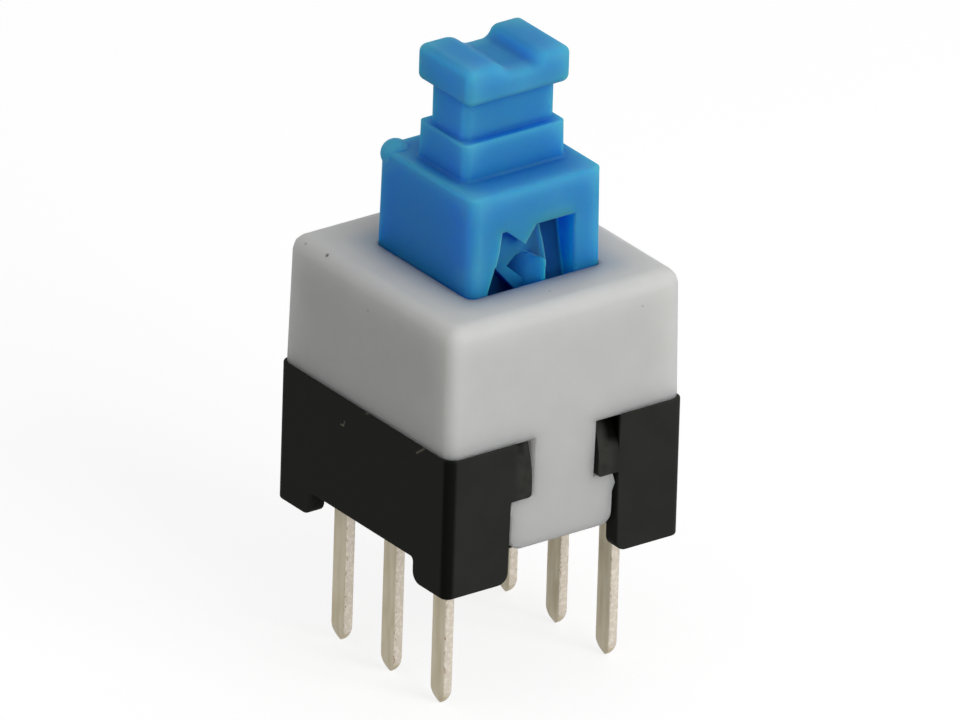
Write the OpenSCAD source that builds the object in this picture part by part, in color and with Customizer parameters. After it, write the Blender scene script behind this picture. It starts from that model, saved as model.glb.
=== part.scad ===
// Latching two-pole pushbutton switch for a circuit board.
// X runs across the front, Y to the back and Z up. z = 0 is the board, under the middle of the body.

/* [Base] */
// Outside width of the square base
body_w = 8.5; // [8:0.1:10]
// Height of the base walls above the board
base_h = 4.5; // [4.2:0.1:5.4]
// Thickness of the base walls
base_wall = 0.53; // [0.4:0.01:0.65]
// Radius of the base's upright corners
base_corner_r = 0.27; // [0.1:0.01:0.45]
// Radius of the outer bottom corners of the feet
foot_outer_r = 0.1; // [0.05:0.01:0.3]
// Radius of the inner bottom corners of the feet
foot_inner_r = 0.42; // [0.2:0.01:0.6]
// Height of the feet below the floor
foot_h = 0.763; // [0.65:0.001:1]
// Length of each foot along the side wall
foot_len = 1.69; // [1.4:0.01:2.1]
// Thickness of the floor
floor_t = 0.9; // [0.7:0.05:1.1]

/* [Snap fit] */
// Width of the gap in the front and back walls
slot_w = 3.9; // [3.4:0.05:4.4]
// Reach of each hook into the gap
hook_reach = 0.74; // [0.5:0.01:0.9]
// Height of the hooks
hook_h = 1.86; // [1.4:0.01:2.2]
// Height of the upright part of a hook's outer face
hook_flat_h = 0.79; // [0.4:0.01:1.1]
// How far a hook's outer face leans in at the top
hook_lean = 0.4; // [0.2:0.01:0.45]
// Side gap between a tongue and the base
tongue_gap = 0.13; // [0.08:0.01:0.2]
// Thickness of a tongue
tongue_t = 0.5; // [0.35:0.01:0.6]
// Height of a tongue's lower edge above the board
tongue_z = 0.96; // [0.85:0.01:1.3]
// How far a tongue leans in at its lower edge
tongue_lean = 0.1; // [0:0.01:0.15]
// Radius of a tongue's lower corners
tongue_r = 0.37; // [0.1:0.01:0.5]
// Height of the wedge on a tongue's shoulder
barb_h = 0.42; // [0.25:0.01:0.5]
// Play between a tongue's shoulders and the hooks
catch_gap = 0.02; // [0.01:0.01:0.05]

/* [Housing] */
// Height of the housing's top above the board
housing_z = 8.62; // [8:0.02:9.6]
// Step from the base's outer face in to the housing
housing_inset = 0.03; // [0:0.01:0.1]
// Narrowing of the housing from its lower edge to its top, on each side
housing_draft = 0.06; // [0:0.01:0.12]
// Thickness of the housing's side walls
housing_wall = 0.75; // [0.62:0.01:0.9]
// Thickness of the housing's top
housing_top_t = 0.8; // [0.6:0.05:1]
// Radius of the housing's upright edges
housing_edge_r = 0.36; // [0.2:0.02:0.6]
// Radius of the housing's top edges
housing_top_r = 0.4; // [0.2:0.05:0.55]

/* [Plunger] */
// Place of the plunger's axis, towards the front of the body's middle
axis_y = -0.12; // [-0.2:0.01:0]
// Travel of the plunger
travel = 2.3; // [1.8:0.05:2.7]
// Step from the housing's lower edge in to the plunger's block
block_inset = 1.8; // [1.7:0.01:1.95]
// Width of block that the stem, cam and return spring sizes are given for; they follow the real width
given_block_w = 4.84; // [4.5:0.02:5]
// Narrowing of the block above the housing, on each side
block_draft = 0.05; // [0:0.01:0.08]
// Radius of the block's upright edges
block_edge_r = 0.38; // [0.2:0.02:0.45]
// Radius of the block's top edges
block_top_r = 0.2; // [0.1:0.02:0.3]
// Sliding gap around the block
slide_gap = 0.04; // [0.02:0.01:0.08]
// Thickness of the flange that stops the block under the housing's top
flange_t = 0.55; // [0.4:0.05:0.8]
// Width of the collar, left to right
collar_w = 3.7; // [3.4:0.05:4]
// Depth of the collar, front to back
collar_d = 2.46; // [2.2:0.02:3]
// Height of the collar
collar_h = 1.18; // [0.8:0.02:1.5]
// Width of the neck, left to right
neck_w = 3.3; // [2.8:0.05:3.4]
// Depth of the neck, front to back
neck_d = 1.8; // [1.5:0.05:2.1]
// Height of the neck
neck_h = 1.24; // [1:0.02:1.8]
// Width of the head, left to right
head_w = 3.74; // [3.4:0.02:4]
// Depth of the head, front to back
head_d = 2.64; // [2.2:0.02:3]
// Height of the head
head_h = 1.17; // [0.9:0.01:1.5]
// Radius of the stem's upright edges
stem_edge_r = 0.26; // [0.1:0.02:0.35]
// Radius of the stem's level edges
stem_top_r = 0.18; // [0.08:0.01:0.25]
// Radius of the head's level edges
head_r = 0.26; // [0.1:0.02:0.35]
// Depth of the groove across the head
groove_depth = 0.32; // [0.15:0.01:0.4]
// Width of the groove's flat floor
groove_floor_w = 0.72; // [0.5:0.02:0.9]
// Width of the groove's gentle left side
groove_left_w = 0.83; // [0.5:0.01:1]
// Width of the groove's steep right side
groove_right_w = 0.29; // [0.15:0.01:0.5]
// Offset of the groove's middle from the head's middle
groove_x = -0.06; // [-0.2:0.01:0.2]
// Radius of the moulding bead on the block's rear left corner
bead_r = 0.4; // [0.25:0.01:0.5]
// How far the bead stands above the block
bead_rise = 0.24; // [0.05:0.01:0.3]

/* [Cam] */
// Height of the block's face above the cam window
cam_rim = 1.27; // [1:0.01:1.8]
// Room in the cam above the lock pin at full travel
cam_over = 0.71; // [0.6:0.01:0.9]
// Right edge of the return lane
lane_right = 1.34; // [1.2:0.01:1.6]
// Left edge of the return lane
lane_left = 0.02; // [0:0.01:0.1]
// Left end of the tooth's tip
tooth_x = -0.49; // [-0.55:0.01:-0.3]
// Height of the tooth
tooth_h = 0.51; // [0.4:0.01:0.55]
// Left edge of the latch pocket at the window's top
pocket_x = -1.26; // [-1.4:0.01:-1.2]
// Left edge of the entry lane at its widest
entry_x = -1.75; // [-1.9:0.01:-1.65]
// Right edge of the heart
heart_right = 0.31; // [0.28:0.01:0.5]
// Depth of the shallow cam floors
floor_depth = 0.42; // [0.38:0.01:0.5]
// Depth of the middle cam floors
notch_depth = 0.72; // [0.6:0.01:0.8]
// Depth of the deep lanes
lane_depth = 0.95; // [0.85:0.01:1.05]

/* [Terminals] */
// Step from the block's side out to the middle of a row of pins
row_step = 0.58; // [0.54:0.01:0.64]
// Step from the housing's lower edge in to the middle of the outer pins
pin_inset = 1.72; // [1.6:0.01:1.9]
// Width of a pin
pin_w = 0.7; // [0.5:0.02:0.8]
// Thickness of the terminal metal
pin_t = 0.3; // [0.2:0.02:0.36]
// Length of the pins below the board plane
pin_len = 4.3; // [3:0.1:5]
// Length of a pin's rounded tip
tip_len = 0.55; // [0.4:0.05:1]
// Width of the shoulder that sits on the floor
shoulder_w = 1.1; // [0.9:0.05:1.3]
// Height of that shoulder
shoulder_h = 0.35; // [0.25:0.05:0.5]
// Play of a terminal in its slot
slot_fit = 0.02; // [0.01:0.01:0.04]
// Outward step that opens the normally closed contact
jog = 0.18; // [0.12:0.01:0.22]

/* [Contacts] */
// Thickness of the contact clips
clip_t = 0.12; // [0.08:0.01:0.15]
// Width of a contact finger
finger_w = 0.5; // [0.4:0.05:0.6]
// Radius of a contact finger's bow
finger_r = 0.38; // [0.32:0.01:0.42]
// Running gap between the fingers and the terminals
contact_gap = 0.02; // [0.01:0.01:0.03]
// Height of the fingers above the plunger's lower end
finger_rise = 1.0; // [0.8:0.05:1.3]

/* [Springs and lock pin] */
// Outside diameter of the return spring
spring_d = 2.0; // [1.7:0.05:2.1]
// Wire of the return spring
spring_wire = 0.24; // [0.18:0.01:0.28]
// Turns of the return spring
spring_turns = 9; // [7:1:10]
// Diameter of the lock pin's wire
lock_d = 0.4; // [0.3:0.02:0.42]
// How far the lock pin reaches into the cam
lock_reach = 0.3; // [0.2:0.01:0.32]
// Height of the lock pin's pivot above the floor
pivot_rise = 0.84; // [0.7:0.02:1]
// Place of the lock pin's tip, left of the middle, with the plunger up
lock_home_x = -0.3; // [-0.36:0.01:-0.24]
// Thickness of the lock pin's leaf spring
leaf_t = 0.1; // [0.06:0.01:0.12]
// Width of the leaf spring
leaf_w = 0.8; // [0.6:0.05:1]

/* [Hidden] */
$fn = 64;
// Overlap that makes neighbouring solids of one piece join
bite = 0.05;
// Length that passes right through whatever is cut
through = 30;

// Levels above the board
floor_z = foot_h;
floor_top = floor_z + floor_t;
ceiling_z = housing_z - housing_top_t;
flange_gap = 0.05;
flange_z = ceiling_z - flange_gap - flange_t;
bottom_gap = 0.24;
plunger_z = floor_top + travel + bottom_gap;
lock_drop = 0.35;
lock_tip_z = ceiling_z - lock_drop;
cam_top = lock_tip_z + travel + cam_over;
block_z = cam_top + cam_rim;
collar_z = block_z + collar_h;
neck_z = collar_z + neck_h;
head_z = neck_z + head_h;
finger_z = plunger_z + finger_rise;
spring_rise = 0.4;
spring_top = ceiling_z + spring_rise;

// Body planes, measured from the middle
half = body_w / 2;
inner = half - base_wall;
housing_half = half - housing_inset;
cavity = housing_half - housing_wall;
hook_z = base_h - hook_h;
hook_end = slot_w / 2 - hook_reach;
tongue_back = housing_half - tongue_lean - tongue_t;
shelf_gap = 0.04;
shelf_y = tongue_back - shelf_gap;

// Plunger and contact planes
block_half = housing_half - block_inset;
block_w = 2 * block_half;
block_k = block_w / given_block_w;
row_gap = 2 * (block_half + row_step);
pin_pitch = housing_half - pin_inset;
blade_in = row_gap / 2 - pin_t / 2;
skirt_half = blade_in - contact_gap - finger_r - clip_t;
flange_clear = 0.1;
flange_half = blade_in - flange_clear;
flange_lap = 0.42;
flange_back = axis_y + block_half + flange_lap;
block_front = axis_y - block_half;

// Lock pin planes
lock_r = lock_d / 2;
lock_run = 0.1;
lock_y = block_front - lock_run - lock_r;
pivot_z = floor_top + pivot_rise;
post_back = lock_y - lock_r - lock_run;
post_half = 0.9;
leaf_sink = 0.5;
post_wall = 0.15;
post_top = pivot_z + lock_r + post_wall + leaf_sink;
post_front = -shelf_y;
leaf_y = (post_front + post_back) / 2;
spring_gap = 0.15;
coil_d = spring_d * block_k;
coil_wire = spring_wire * block_k;
bore_r = coil_d / 2 + spring_gap;
stud_r = coil_d / 2 - coil_wire - spring_gap;
stud_h = 0.6;

// Rectangle with rounded corners, about the middle
module rounded_rect(size, r) {
    square([size.x - 2 * r, size.y], center = true);
    square([size.x, size.y - 2 * r], center = true);
    for (sx = [-1, 1], sy = [-1, 1])
        translate([sx * (size.x / 2 - r), sy * (size.y / 2 - r)]) circle(r);
}

// Side view of a drafted block with rounded top corners, standing on y = 0
module crowned_profile(w_low, w_top, h, r) {
    polygon([
        [-w_low / 2, 0], [w_low / 2, 0], [w_top / 2, h - r], [w_top / 2 - r, h],
        [r - w_top / 2, h], [-w_top / 2, h - r]
    ]);
    for (s = [-1, 1])
        translate([s * (w_top / 2 - r), h - r]) circle(r);
}

// Outline seen from the front, given depth about the middle
module from_front(depth) {
    rotate([90, 0, 0]) linear_extrude(depth, center = true) children();
}

// Outline seen from the right, given width about the middle
module from_right(width) {
    rotate([90, 0, 90]) linear_extrude(width, center = true) children();
}

// Drafted block with rounded uprights and top edges, standing on z = 0
module soft_block(low, top, h, edge_r, top_r) {
    intersection() {
        linear_extrude(h) rounded_rect(low, edge_r);
        from_front(through) crowned_profile(low.x, top.x, h, top_r);
        from_right(through) crowned_profile(low.y, top.y, h, top_r);
    }
}

// Wire from one point to another
module rod(p, q, r) {
    d = q - p;
    translate(p)
        rotate([0, acos(d.z / norm(d)), atan2(d.y, d.x)])
            cylinder(h = norm(d), r = r);
}

// Corner left over when an edge is rounded, with its point at the origin
module corner_cut(r) {
    difference() {
        translate([-bite, -bite]) square(r + bite);
        translate([r, r]) circle(r);
    }
}

// Opening between two feet, with the feet's inner corners rounded
module foot_gap(width, h, r) {
    translate([-width / 2, -bite]) square([width, h + bite]);
    for (s = [0, 1])
        mirror([s, 0]) translate([width / 2, 0]) corner_cut(r);
}

// Places of the six terminals
module at_terminals() {
    for (s = [-1, 1], i = [-1, 0, 1])
        translate([s * row_gap / 2, i * pin_pitch, 0]) children();
}

// Front hook on the right: upright below, leaning in above
module hook() {
    translate([(hook_end + slot_w / 2 + bite) / 2, 0, 0])
        from_right(slot_w / 2 + bite - hook_end)
            polygon([
                [-half, hook_z], [-half, hook_z + hook_flat_h], [hook_lean - half, base_h],
                [-inner, base_h], [-inner, hook_z]
            ]);
}

// Post behind the front tongue that holds the lock pin and its leaf spring
module lock_post() {
    difference() {
        translate([-post_half, post_front, floor_top - bite])
            cube([2 * post_half, post_back - post_front, post_top - floor_top + bite]);
        translate([0, 0, pivot_z]) rotate([90, 0, 0])
            cylinder(h = through, r = lock_r + slide_gap, center = true);
        translate([0, leaf_y, post_top])
            cube([leaf_w + 2 * slot_fit, leaf_t + 2 * slot_fit, 2 * leaf_sink], center = true);
    }
}

module base() {
    color("#2e2f2e") {
        difference() {
            intersection() {
                linear_extrude(base_h) rounded_rect([body_w, body_w], base_corner_r);
                translate([0, 0, base_h]) mirror([0, 0, 1]) union() {
                    intersection() {
                        from_front(through) crowned_profile(body_w, body_w, base_h, foot_outer_r);
                        from_right(through) crowned_profile(body_w, body_w, base_h, foot_outer_r);
                    }
                }
            }
            translate([-inner, -inner, floor_top]) cube([2 * inner, 2 * inner, through]);
            translate([-inner, -inner, floor_z - through]) cube([2 * inner, 2 * inner, through]);
            from_right(through) foot_gap(body_w - 2 * foot_len, floor_z, foot_inner_r);
            for (s = [0, 1])
                mirror([0, s, 0]) translate([0, -shelf_y - through / 2, 0])
                    from_front(through) foot_gap(slot_w, through, foot_inner_r);
            at_terminals()
                cube([pin_t + 2 * slot_fit, pin_w + 2 * slot_fit, through], center = true);
        }
        for (sx = [0, 1], sy = [0, 1])
            mirror([sx, 0, 0]) mirror([0, sy, 0]) hook();
        lock_post();
        translate([0, axis_y, floor_top - bite]) cylinder(h = stud_h + bite, r = stud_r);
    }
}

// Front view of a tongue: narrow between the hooks, wide below them, with a wedge on each shoulder
module tongue_outline() {
    neck = hook_end - tongue_gap;
    wide = slot_w / 2 - tongue_gap;
    shoulder = hook_z - catch_gap;
    barb = tongue_gap * 0.75;
    barb_top = shoulder - barb_h / 8;
    barb_tip = shoulder - barb_h * 0.6;
    translate([-neck, shoulder - bite]) square([2 * neck, base_h - shoulder + 2 * bite]);
    difference() {
        translate([-wide, tongue_z]) square([2 * wide, shoulder - tongue_z]);
        for (s = [0, 1])
            mirror([s, 0]) translate([-wide, tongue_z]) corner_cut(tongue_r);
    }
    for (s = [0, 1])
        mirror([s, 0])
            polygon([
                [wide - bite, shoulder], [wide, barb_top], [wide + barb, barb_tip],
                [wide, shoulder - barb_h], [wide - bite, shoulder - barb_h]
            ]);
}

// Front tongue: its face carries on from the housing's front and leans in
module tongue() {
    intersection() {
        from_front(through) tongue_outline();
        from_right(through)
            polygon([
                [-housing_half, base_h + bite], [-housing_half, base_h],
                [tongue_lean - housing_half, tongue_z], [-tongue_back, tongue_z],
                [-tongue_back, base_h + bite]
            ]);
    }
}

module housing() {
    low = 2 * housing_half;
    top = low - 2 * housing_draft;
    opening = block_w + 2 * slide_gap;
    color("#b8b9b6") {
        difference() {
            translate([0, 0, base_h])
                soft_block([low, low], [top, top], housing_z - base_h, housing_edge_r, housing_top_r);
            translate([-cavity, -cavity, ceiling_z - through]) cube([2 * cavity, 2 * cavity, through]);
            translate([0, axis_y, 0]) linear_extrude(through) rounded_rect([opening, opening], block_edge_r);
        }
        for (s = [0, 1])
            mirror([0, s, 0]) tongue();
    }
}

// One pocket of the cam, cut into the block's front face to a depth
module cam_cut(depth, points) {
    translate([0, block_front, 0])
        from_front(2 * depth * block_k) polygon([for (p = points) [p.x * block_k, p.y]]);
}

// Heart cam: entry lane and latch pocket on the left, heart in the middle, return lane on the right.
// The heart's crest parts the latch notch from the entry lane, and its left side faces the notch.
module cam() {
    home_z = lock_tip_z - lock_r - 0.25;
    wide_z = lock_tip_z + 0.8;
    heart_z = cam_top - 1.18;
    tooth_z = cam_top - tooth_h;
    pocket_w = 0.16;
    home_left = -0.75;
    home_right = 0.15;
    crest_high = [-0.93, heart_z - 0.5];
    crest_low = [-0.6, heart_z - 0.84];
    heart_shoulder = [0.08, heart_z + 0.1];
    heart_side = [-0.02, heart_z - 0.25];
    heart_foot = [-0.16, heart_z - 0.75];
    heart_base = [-0.1, heart_z - 1.1];
    return_lane = [
        [lane_left, cam_top], [lane_right, cam_top], [lane_right, wide_z], [heart_right, home_z + 0.25],
        [heart_right, heart_z], [heart_right - 0.18, heart_z + 0.14], [lane_left - 0.12, tooth_z - 0.25],
        [tooth_x + 0.08, tooth_z + 0.08]
    ];
    latch_pocket = [
        [pocket_x, cam_top], [pocket_x + pocket_w, cam_top], [tooth_x, tooth_z], [lane_left, cam_top],
        [heart_right, heart_z], heart_shoulder, heart_side, heart_foot, crest_low, crest_high,
        [pocket_x - 0.22, heart_z + 0.05], [pocket_x - 0.08, heart_z + 0.59]
    ];
    latch_notch = [
        [-0.95, heart_z + 0.05], [-0.55, tooth_z - 0.22], [-0.05, tooth_z - 0.22],
        heart_shoulder, heart_side, [-0.14, heart_z - 0.6]
    ];
    entry_lane = [
        [pocket_x - 0.3, heart_z - 0.15], crest_high, crest_low, heart_foot, heart_base,
        [heart_base.x, home_z], [home_left, home_z], [entry_x, wide_z], [entry_x, heart_z - 0.64]
    ];
    home_pocket = [
        [heart_base.x - bite, heart_base.y], [heart_right + bite, heart_base.y - 0.1],
        [heart_right + bite, home_z + 0.2], [home_right, home_z], [heart_base.x - bite, home_z]
    ];
    cam_cut(lane_depth, return_lane);
    cam_cut(floor_depth, latch_pocket);
    cam_cut(notch_depth, latch_notch);
    cam_cut(lane_depth, entry_lane);
    cam_cut(lane_depth, home_pocket);
}

// Groove across the head's top, gentle on its left and steep on its right
module head_groove() {
    left_w = groove_left_w * block_k;
    right_w = groove_right_w * block_k;
    floor_w = groove_floor_w * block_k;
    floor_left = groove_x - (floor_w + right_w - left_w) / 2;
    floor_right = floor_left + floor_w;
    translate([0, 0, head_z])
        from_front(through)
            polygon([
                [floor_left - left_w, 0], [floor_left, -groove_depth], [floor_right, -groove_depth],
                [floor_right + right_w, 0], [floor_right + right_w, head_h], [floor_left - left_w, head_h]
            ]);
}

module plunger() {
    block = [block_w, block_w];
    block_h = block_z - flange_z;
    top_w = block_w - 2 * block_draft;
    collar = [collar_w, collar_d] * block_k;
    collar_top = collar - [2, 2] * block_draft;
    neck = [neck_w, neck_d] * block_k;
    head = [head_w, head_d] * block_k;
    bead_in = bead_r - 0.06;
    color("#3c82b9") {
        difference() {
            union() {
                translate([0, axis_y, flange_z])
                    soft_block(block, [top_w, top_w], block_h, block_edge_r, block_top_r);
                translate([-skirt_half, block_front, plunger_z])
                    cube([2 * skirt_half, block_w, flange_z - plunger_z + bite]);
                translate([-flange_half, block_front, flange_z])
                    cube([2 * flange_half, flange_back - block_front, flange_t]);
            }
            cam();
            translate([0, axis_y, plunger_z - bite]) cylinder(h = spring_top - plunger_z + bite, r = bore_r);
        }
        translate([0, axis_y, block_z - bite])
            soft_block(collar, collar_top, collar_h + bite, stem_edge_r, stem_top_r);
        translate([0, axis_y, collar_z - bite])
            linear_extrude(neck_h + 2 * bite) rounded_rect(neck, stem_edge_r);
        difference() {
            intersection() {
                translate([0, axis_y, neck_z])
                    linear_extrude(head_h) rounded_rect(head, stem_edge_r);
                translate([0, axis_y, neck_z + head_h / 2])
                    from_front(through) rounded_rect([head.x, head_h], head_r);
                translate([0, axis_y, neck_z + head_h / 2])
                    from_right(through) rounded_rect([head.y, head_h], head_r);
            }
            head_groove();
        }
        translate([bead_in - top_w / 2, axis_y + top_w / 2 - bead_in, block_z + bead_rise - bead_r])
            rotate([0, 90, 45]) sphere(bead_r);
    }
}

// Height of the return spring's wire after a number of turns; the end turns lie flat
function coil_z(turn, length) =
    let (open_turns = spring_turns - 2, pitch = (length - 3 * coil_wire) / open_turns)
    coil_wire / 2 + (
        turn < 1 ? turn * coil_wire
        : turn > spring_turns - 1 ? length - coil_wire - (spring_turns - turn) * coil_wire
        : coil_wire + (turn - 1) * pitch
    );

module return_spring() {
    steps = 16;
    sides = 8;
    radius = (coil_d - coil_wire) / 2;
    length = spring_top - floor_top;
    rings = spring_turns * steps;
    points = [
        for (i = [0:rings], j = [0:sides - 1])
            let (a = 360 * i / steps, b = 360 * j / sides, reach = radius + coil_wire / 2 * cos(b))
            [reach * cos(a), reach * sin(a), coil_z(i / steps, length) + coil_wire / 2 * sin(b)]
    ];
    walls = [
        for (i = [0:rings - 1], j = [0:sides - 1])
            let (k = (j + 1) % sides, low = i * sides, high = low + sides)
            [low + j, high + j, high + k, low + k]
    ];
    first = [for (j = [0:sides - 1]) j];
    last = [for (j = [sides - 1:-1:0]) rings * sides + j];
    color("silver") translate([0, axis_y, floor_top]) polyhedron(points, concat(walls, [first, last]));
}

module lock_pin() {
    foot = [0, lock_y, pivot_z];
    tip = [lock_home_x * block_k, lock_y, lock_tip_z];
    color("lightgray") {
        rod(foot, tip, lock_r);
        rod(tip, tip + [0, lock_reach * block_k + lock_run + lock_r, 0], lock_r);
        rod(foot, [0, post_front + bite, pivot_z], lock_r);
        translate(foot) sphere(lock_r);
        translate(tip) sphere(lock_r);
    }
}

module lock_pin_spring() {
    leaf_gap = 0.03;
    free_h = lock_tip_z - post_top;
    bend_rise = free_h * 0.04;
    press_y = lock_y - lock_r - leaf_gap - leaf_t / 2;
    press_z = post_top + free_h * 0.55;
    flare_h = free_h * 0.22;
    path = [
        [leaf_y, post_top - leaf_sink], [leaf_y, post_top + bend_rise],
        [press_y, press_z], [leaf_y, press_z + flare_h]
    ];
    face = [for (p = path) p + [leaf_t / 2, 0]];
    back = [for (i = [len(path) - 1:-1:0]) path[i] - [leaf_t / 2, 0]];
    color("lightgray") from_right(leaf_w) polygon(concat(face, back));
}

// Terminal on the right: pin with a rounded tip, shoulder on the floor, and a blade that may step outwards
module terminal(top_z, step) {
    tip_z = tip_len - pin_len;
    tip_r = (pow(pin_w / 2, 2) + pow(tip_len, 2)) / pin_w;
    slope = 0.3;
    step_low = floor_top + shoulder_h + slope;
    step_high = finger_z - finger_r - slope;
    stepped = [[0, step_low], [step, step_low + slope], [step, step_high - slope], [0, step_high]];
    path = concat([[0, -pin_len]], step > 0 ? stepped : [], [[0, top_z]]);
    face = [for (p = path) p + [pin_t / 2, 0]];
    back = [for (i = [len(path) - 1:-1:0]) path[i] - [pin_t / 2, 0]];
    color("#d7cdbe") translate([row_gap / 2, 0, 0]) {
        intersection() {
            from_front(through) polygon(concat(face, back));
            from_right(through) {
                translate([-pin_w / 2, tip_z]) square([pin_w, through]);
                intersection() {
                    translate([pin_w / 2 - tip_r, tip_z]) circle(tip_r);
                    translate([tip_r - pin_w / 2, tip_z]) circle(tip_r);
                }
            }
        }
        translate([-pin_t / 2, -shoulder_w / 2, floor_top]) cube([pin_t, shoulder_w, shoulder_h]);
    }
}

// Tops of the blades: the normally open one ends below the raised fingers
open_gap = 1;
open_top = finger_z - finger_r - open_gap;
blade_over = 0.35;
blade_top = finger_z + finger_r + blade_over;

module normally_open() {
    translate([0, -pin_pitch, 0]) terminal(open_top, 0);
}

module common() {
    terminal(blade_top, 0);
}

module normally_closed() {
    translate([0, pin_pitch, 0]) terminal(blade_top, jog);
}

// Contact clip on the plunger's right side: a plate with one bowed finger for each terminal
module moving_contact() {
    color("goldenrod") {
        translate([skirt_half, -pin_pitch - finger_w / 2, finger_z - finger_r - bite])
            cube([clip_t, 2 * pin_pitch + finger_w, 2 * finger_r + 2 * bite]);
        for (i = [-1, 0, 1])
            translate([skirt_half + clip_t, i * pin_pitch, finger_z])
                from_front(finger_w)
                    intersection() {
                        difference() {
                            circle(finger_r);
                            circle(finger_r - clip_t);
                        }
                        translate([-bite, -finger_r]) square(2 * finger_r);
                    }
    }
}

module on_left() {
    mirror([1, 0, 0]) children();
}

base();
housing();
plunger();
return_spring();
lock_pin();
lock_pin_spring();
on_left() normally_open();  // left_normally_open
on_left() common();  // left_common
on_left() normally_closed();  // left_normally_closed
normally_open();  // right_normally_open
common();  // right_common
normally_closed();  // right_normally_closed
on_left() moving_contact();  // left_moving_contact
moving_contact();  // right_moving_contact
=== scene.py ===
# %% [markdown]
# # A latching pushbutton switch
#
# The switch stands on six flat pins: a black base below, a light grey housing snapped onto it, and a
# blue plunger with a stepped stem that slides down into the housing. This lesson dresses the plain
# solids from the CAD model: softer moulded edges, a coiled spring, plating marks, finishes and light.

# %% Load the CAD frame
import math

import bmesh
import bpy
from mathutils import Matrix, Vector


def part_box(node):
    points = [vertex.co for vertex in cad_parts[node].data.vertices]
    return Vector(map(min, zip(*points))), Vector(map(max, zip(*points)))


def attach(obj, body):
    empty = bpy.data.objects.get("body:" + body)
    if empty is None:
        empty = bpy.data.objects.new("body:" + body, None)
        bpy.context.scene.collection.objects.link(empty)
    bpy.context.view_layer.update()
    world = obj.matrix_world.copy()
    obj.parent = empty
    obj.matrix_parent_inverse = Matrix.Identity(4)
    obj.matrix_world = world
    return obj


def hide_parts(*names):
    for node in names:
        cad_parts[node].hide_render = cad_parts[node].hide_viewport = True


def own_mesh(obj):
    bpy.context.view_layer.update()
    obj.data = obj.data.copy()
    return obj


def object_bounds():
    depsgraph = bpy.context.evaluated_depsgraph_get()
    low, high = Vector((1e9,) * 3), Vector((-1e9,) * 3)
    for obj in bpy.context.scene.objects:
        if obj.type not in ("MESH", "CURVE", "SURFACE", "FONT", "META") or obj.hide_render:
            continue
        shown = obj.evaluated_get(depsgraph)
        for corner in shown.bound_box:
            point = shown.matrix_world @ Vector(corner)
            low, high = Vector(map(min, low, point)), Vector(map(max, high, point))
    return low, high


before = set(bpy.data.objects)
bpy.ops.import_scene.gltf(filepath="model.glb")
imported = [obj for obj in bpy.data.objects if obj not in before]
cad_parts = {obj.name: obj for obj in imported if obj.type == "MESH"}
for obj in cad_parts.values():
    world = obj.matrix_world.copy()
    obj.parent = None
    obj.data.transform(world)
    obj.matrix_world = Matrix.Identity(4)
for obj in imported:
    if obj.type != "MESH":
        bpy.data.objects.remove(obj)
cad_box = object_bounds()
print("CAD box", [tuple(round(value, 5) for value in corner) for corner in cad_box])

# %% [markdown]
# ## Working in millimetres
#
# Blender's scene is in metres, but a part of a few millimetres is easier to write in millimetres, and
# Boolean and Bevel modifiers behave better on it at that size. So each piece is modelled in
# millimetres, and its mesh is shrunk to metres at the very end.

# %% Read the sizes that the frame gives
MM = 0.001


def box_mm(node):
    """Lowest and highest corner of a CAD node, in millimetres."""
    low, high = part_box(node)
    return low / MM, high / MM


base_low, base_high = box_mm("base")
housing_low, housing_high = box_mm("housing")
plunger_low, plunger_high = box_mm("plunger")
spring_low, spring_high = box_mm("return_spring")
pin_low, pin_high = box_mm("right_common")
axis_y = (spring_low.y + spring_high.y) / 2
print("base", base_low, base_high)
print("plunger axis at y =", round(axis_y, 3))

# %% [markdown]
# ## Building finishes from nodes
#
# A finish is a small graph of shader nodes. Two classes keep it readable: `Value` wraps one output
# socket, so that sums are written as Python and turn into Math nodes, and `Graph` adds every other
# node with one method that takes its type, its settings and its sockets.

# %% Classes that write node graphs


class Value:
    """An output socket. Arithmetic on it adds Math nodes."""

    def __init__(self, graph, socket):
        self.graph = graph
        self.socket = socket

    def math(self, operation, first, second):
        return self.graph.add("ShaderNodeMath", {"operation": operation}, {0: first, 1: second})

    def __add__(self, other):
        return self.math("ADD", self, other)

    def __sub__(self, other):
        return self.math("SUBTRACT", self, other)

    def __rsub__(self, other):
        return self.math("SUBTRACT", other, self)

    def __mul__(self, other):
        return self.math("MULTIPLY", self, other)

    def __gt__(self, other):
        return self.math("GREATER_THAN", self, other)

    def __lt__(self, other):
        return self.math("LESS_THAN", self, other)

    def __abs__(self):
        return self.math("ABSOLUTE", self, 0.0)

    __radd__ = __add__
    __rmul__ = __mul__


class Graph:
    """A node tree that is written one node at a time."""

    def __init__(self, tree):
        self.tree = tree

    def add(self, kind, settings=None, sockets=None, out=0):
        node = self.tree.nodes.new(kind)
        for name, setting in (settings or {}).items():
            setattr(node, name, setting)
        for key, value in (sockets or {}).items():
            if isinstance(value, Value):
                self.tree.links.new(value.socket, node.inputs[key])
            else:
                node.inputs[key].default_value = value
        return Value(self, node.outputs[out])

    def blend(self, share, first, second):
        """Colour that goes from first to second as share goes from 0 to 1."""
        return self.add("ShaderNodeMix", {"data_type": "RGBA"}, {0: share, 6: first, 7: second}, out=2)

    def vector(self, operation, sockets, out=0):
        """A Vector Math node. Its second output is a number, such as a distance."""
        return self.add("ShaderNodeVectorMath", {"operation": operation}, sockets, out)

    def ramp(self, value, low, high, to_low=0.0, to_high=1.0):
        """Smooth step of value between low and high."""
        limits = {"Value": value, "From Min": low, "From Max": high, "To Min": to_low, "To Max": to_high}
        return self.add("ShaderNodeMapRange", {"interpolation_type": "SMOOTHSTEP"}, limits)


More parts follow.
